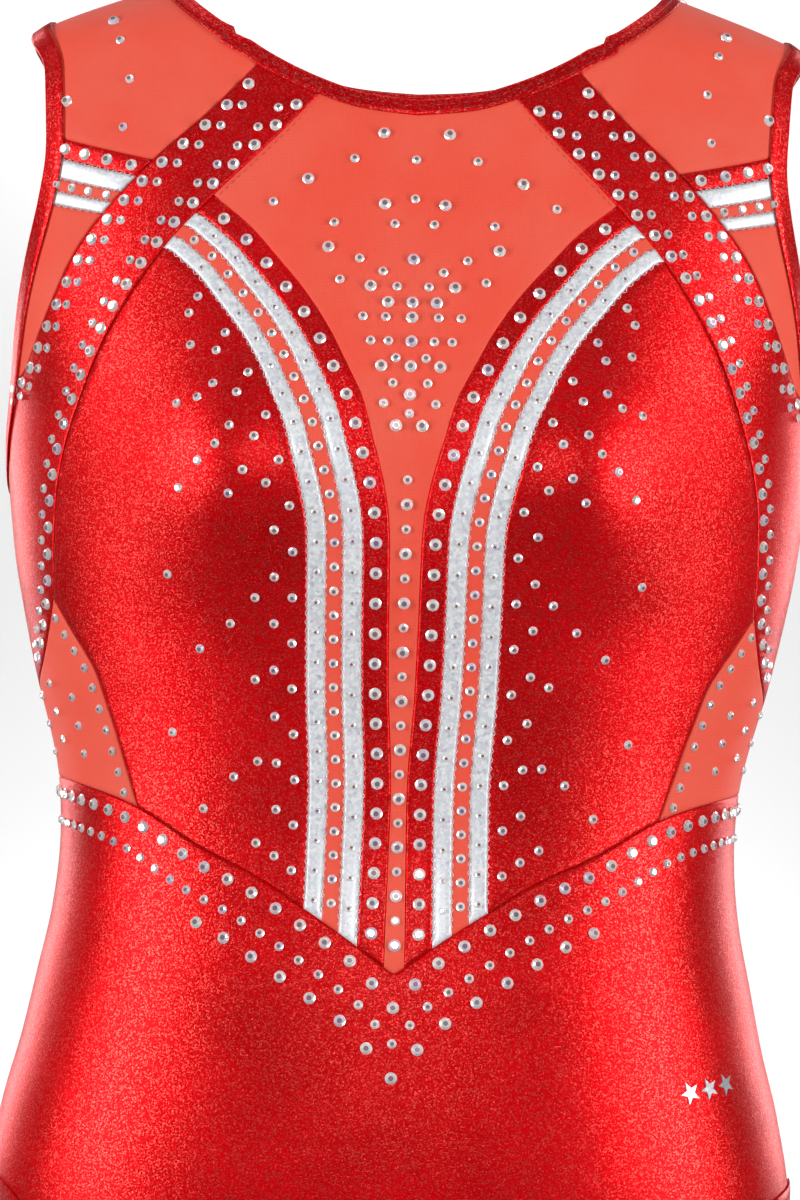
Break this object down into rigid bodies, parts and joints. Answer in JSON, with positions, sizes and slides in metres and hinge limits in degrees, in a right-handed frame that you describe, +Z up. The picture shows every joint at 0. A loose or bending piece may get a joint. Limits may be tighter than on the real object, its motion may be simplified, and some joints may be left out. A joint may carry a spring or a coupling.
{
  "type": "gymnastics leotard",
  "caption": "Sleeveless gymnastics leotard as worn, hollow inside, with a mesh yoke, crossed straps, piped princess stripes, a pointed waist seam and crystal trim.",
  "frame": {"origin": "middle of the line between the two shoulder seams at the neck, where the leotard hangs on a form or a hanger", "axes": "+Z up along the centre line, -Y out of the front, +X towards the wearer's left"},
  "size_m": [0.3172, 0.2253, 0.5989],
  "materials": {
    "red_foil": "foil-printed stretch fabric, glossy and finely speckled",
    "coral_mesh": "fine stretch power mesh, slightly sheer",
    "white_foil": "white stretch foil with a faint shimmer",
    "binding": "folded foil binding with twin stitching",
    "elastic": "knitted elastic",
    "lining": "matt stretch lining",
    "label": "blank printed satin label",
    "motif": "heat-set silver foil",
    "crystal": "faceted foil-backed glass"
  },
  "bodies": {
    "root": {"front_body_left": "red_foil", "front_body_right": "red_foil", "princess_strip_left": "red_foil", "princess_strip_right": "red_foil", "inner_white_stripe_left": "white_foil", "inner_white_stripe_right": "white_foil", "coral_stripe_left": "coral_mesh", "coral_stripe_right": "coral_mesh", "outer_white_stripe_left": "white_foil", "outer_white_stripe_right": "white_foil", "centre_mesh": "coral_mesh", "shoulder_mesh_left": "coral_mesh", "shoulder_mesh_right": "coral_mesh", "armpit_mesh_left": "coral_mesh", "armpit_mesh_right": "coral_mesh", "front_strap_left": "red_foil", "front_strap_right": "red_foil", "chest_band_foil_left": "red_foil", "chest_band_foil_right": "red_foil", "chest_band_white_left": "white_foil", "chest_band_white_right": "white_foil", "chest_band_coral_left": "coral_mesh", "chest_band_coral_right": "coral_mesh", "side_mesh_left": "coral_mesh", "side_mesh_right": "coral_mesh", "front_brief": "red_foil", "back_brief": "red_foil", "back_yoke_mesh": "coral_mesh", "back_shoulder_left": "coral_mesh", "back_shoulder_right": "coral_mesh", "back_strap_left": "red_foil", "back_strap_right": "red_foil", "back_body_left": "red_foil", "back_body_right": "red_foil", "neck_binding": "binding", "neck_elastic": "elastic", "armhole_binding_left": "binding", "armhole_binding_right": "binding", "armhole_elastic_left": "elastic", "armhole_elastic_right": "elastic", "leg_binding_left": "binding", "leg_binding_right": "binding", "leg_elastic_left": "elastic", "leg_elastic_right": "elastic", "bust_lining": "lining", "underbust_elastic": "elastic", "gusset_lining": "lining", "size_label": "label", "hip_motif": "motif", "strap_crystals": "crystal", "princess_crystals": "crystal", "yoke_crystals": "crystal", "stripe_crystals": "crystal", "chest_band_crystals": "crystal", "bust_crystals": "crystal", "side_crystals": "crystal", "waist_crystals": "crystal"}
  },
  "joints": []
}
